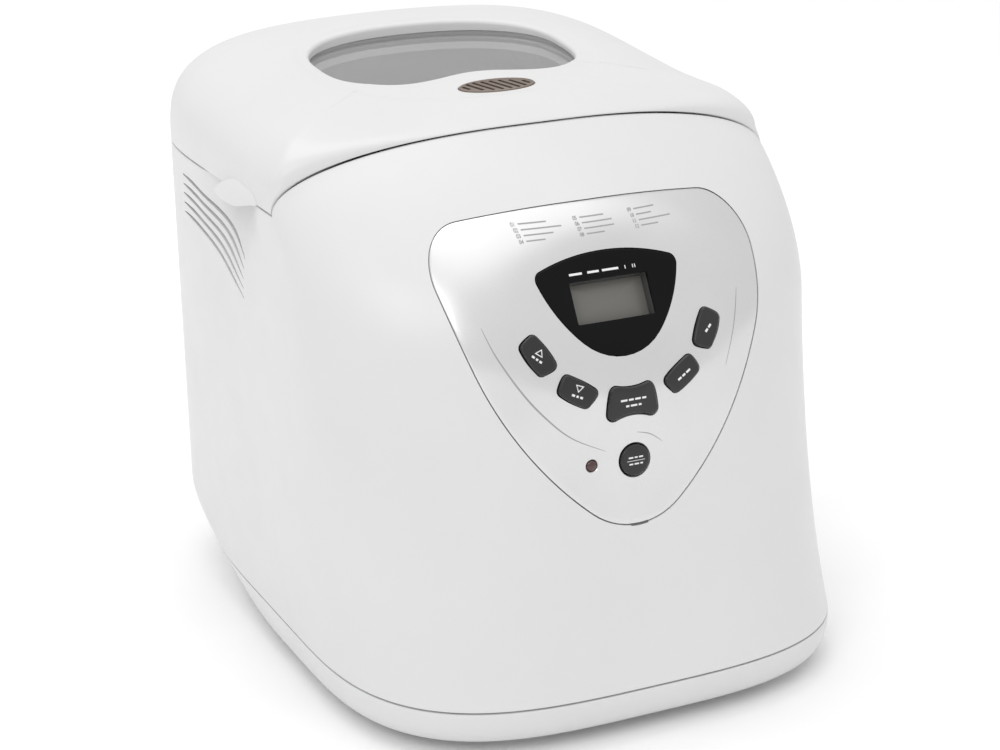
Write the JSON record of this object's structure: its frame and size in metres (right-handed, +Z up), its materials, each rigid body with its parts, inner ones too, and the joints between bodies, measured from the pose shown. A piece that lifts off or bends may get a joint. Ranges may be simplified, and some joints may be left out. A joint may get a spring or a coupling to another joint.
{
  "type": "bread machine",
  "caption": "Countertop bread maker: rounded white cabinet, arched lid with viewing window, sloping silver control panel, lift-out pan and belt-driven kneading paddle.",
  "frame": {"origin": "middle of the foot print, on the surface the machine stands on: the centre of the bounding box in X and Y, its bottom in Z", "axes": "+Z is up, -Y is the front with the control panel, +X is the machine's left-hand side seen from behind, which is on the right when looking at the panel"},
  "size_m": [0.2688, 0.3546, 0.2811],
  "materials": {
    "white_shell": "glossy off-white moulded plastic",
    "rubber": "black rubber",
    "satin_silver": "satin silver paint",
    "grey_plastic": "fine matt grey plastic",
    "gloss_black": "polished black",
    "lcd": "grey display glass",
    "key_plastic": "charcoal, semi-gloss",
    "led": "dark red lens, unlit",
    "circuit_board": "green solder mask",
    "black_plastic": "black moulded plastic",
    "steel": "zinc-plated steel",
    "chamber_sheet": "brushed steel sheet",
    "element": "dark oxidised sheath",
    "ceramic": "fired ceramic",
    "cast_metal": "die-cast, bead-blasted",
    "bronze": "sintered bronze",
    "pulley_plastic": "ivory nylon",
    "motor_paint": "dark grey lacquer",
    "coil_tape": "yellow coil tape",
    "vent_plastic": "brown heat-resistant plastic",
    "window_glass": "smoked clear glass",
    "nonstick": "dark non-stick coating"
  },
  "bodies": {
    "cabinet": {"base_tray": "white_shell", "rubber_feet": "rubber", "body_shell": "white_shell", "louvre_baffles": "white_shell", "control_panel": "satin_silver", "panel_frame": "grey_plastic", "display_shield": "gloss_black", "lcd_module": "lcd", "status_led": "led", "control_board": "circuit_board", "key_switches": "black_plastic", "panel_screws": "steel", "top_deck": "grey_plastic", "oven_chamber": "chamber_sheet", "pan_seat": "steel", "heating_element": "element", "element_clips": "steel", "sensor_housing": "black_plastic", "thermal_fuse": "ceramic", "heat_shield": "steel", "chassis_plate": "steel", "base_screws": "steel", "bearing_housing": "cast_metal", "shaft_bushes": "bronze", "drive_belt": "rubber", "motor_housing": "motor_paint", "motor_capacitor": "pulley_plastic", "power_board": "circuit_board", "transformer": "coil_tape", "power_relay": "black_plastic", "cord_gland": "grey_plastic", "hinge_pins": "steel"},
    "lid": {"lid_cover": "white_shell", "lid_liner": "grey_plastic", "window_glass": "window_glass", "window_gasket": "grey_plastic", "steam_vent": "vent_plastic", "lid_screws": "steel"},
    "time_up_key": {"key_time_up": "key_plastic"},
    "time_down_key": {"key_time_down": "key_plastic"},
    "loaf_size_key": {"key_loaf_size": "key_plastic"},
    "menu_key": {"key_menu": "key_plastic"},
    "crust_key": {"key_crust": "key_plastic"},
    "start_stop_key": {"key_start_stop": "key_plastic"},
    "sensor_plunger": {"sensor_tip": "steel"},
    "motor_rotor": {"motor_shaft": "steel", "motor_pulley": "steel", "motor_fan": "black_plastic"},
    "drive": {"drive_shaft": "steel", "large_pulley": "pulley_plastic", "lower_coupling": "cast_metal"},
    "pan": {"bread_pan": "nonstick", "pan_base_ring": "cast_metal", "pan_bearing": "bronze"},
    "handle": {"pan_handle": "steel"},
    "spindle": {"pan_shaft": "steel", "upper_coupling": "cast_metal"},
    "paddle": {"kneading_paddle": "nonstick"}
  },
  "joints": [
    {"name": "lid_hinge", "type": "hinge", "parent": "cabinet", "child": "lid", "pos_m": [0, 0.17285, 0.229], "axis": [-1, 0, 0], "range_deg": [0, 92]},
    {"name": "time_up_press", "type": "slide", "parent": "cabinet", "child": "time_up_key", "axis": [0.0612, 0.953, -0.2967], "range_m": [0, 0.001], "stiffness_N_per_m": 600, "springref_m": -0.0003},
    {"name": "time_down_press", "type": "slide", "parent": "cabinet", "child": "time_down_key", "axis": [0.0371, 0.9601, -0.2773], "range_m": [0, 0.001], "stiffness_N_per_m": 600, "springref_m": -0.0003},
    {"name": "loaf_size_press", "type": "slide", "parent": "cabinet", "child": "loaf_size_key", "axis": [0, 0.9689, -0.2473], "range_m": [0, 0.001], "stiffness_N_per_m": 600, "springref_m": -0.0003},
    {"name": "menu_press", "type": "slide", "parent": "cabinet", "child": "menu_key", "axis": [-0.0371, 0.9601, -0.2773], "range_m": [0, 0.001], "stiffness_N_per_m": 600, "springref_m": -0.0003},
    {"name": "crust_press", "type": "slide", "parent": "cabinet", "child": "crust_key", "axis": [-0.0612, 0.953, -0.2967], "range_m": [0, 0.001], "stiffness_N_per_m": 600, "springref_m": -0.0003},
    {"name": "start_stop_press", "type": "slide", "parent": "cabinet", "child": "start_stop_key", "axis": [0, 0.9949, -0.1004], "range_m": [0, 0.001], "stiffness_N_per_m": 600, "springref_m": -0.0003},
    {"name": "sensor_plunge", "type": "slide", "parent": "cabinet", "child": "sensor_plunger", "axis": [0, -1, 0], "range_m": [0, 0.0025], "stiffness_N_per_m": 300, "springref_m": -0.0005},
    {"name": "motor_spin", "type": "hinge", "parent": "cabinet", "child": "motor_rotor", "pos_m": [0.038, -0.09935, 0.06], "axis": [0, 0, 1], "continuous": true},
    {"name": "drive_spin", "type": "hinge", "parent": "cabinet", "child": "drive", "pos_m": [0, 0.04465, 0.03], "axis": [0, 0, 1], "continuous": true},
    {"name": "pan_lift", "type": "slide", "parent": "cabinet", "child": "pan", "axis": [0, 0, 1], "range_m": [0, 0.06]},
    {"name": "handle_swing", "type": "hinge", "parent": "pan", "child": "handle", "pos_m": [0, 0.04465, 0.172], "axis": [-1, 0, 0], "range_deg": [0, 180]},
    {"name": "paddle_spin", "type": "hinge", "parent": "pan", "child": "spindle", "pos_m": [0, 0.04465, 0.08], "axis": [0, 0, 1], "continuous": true},
    {"name": "paddle_lift", "type": "slide", "parent": "spindle", "child": "paddle", "axis": [0, 0, 1], "range_m": [0, 0.06]}
  ],
  "couplings": [
    {"joint": "drive_spin", "follows": "motor_spin", "ratio": 0.2},
    {"joint": "paddle_spin", "follows": "motor_spin", "ratio": 0.2}
  ]
}
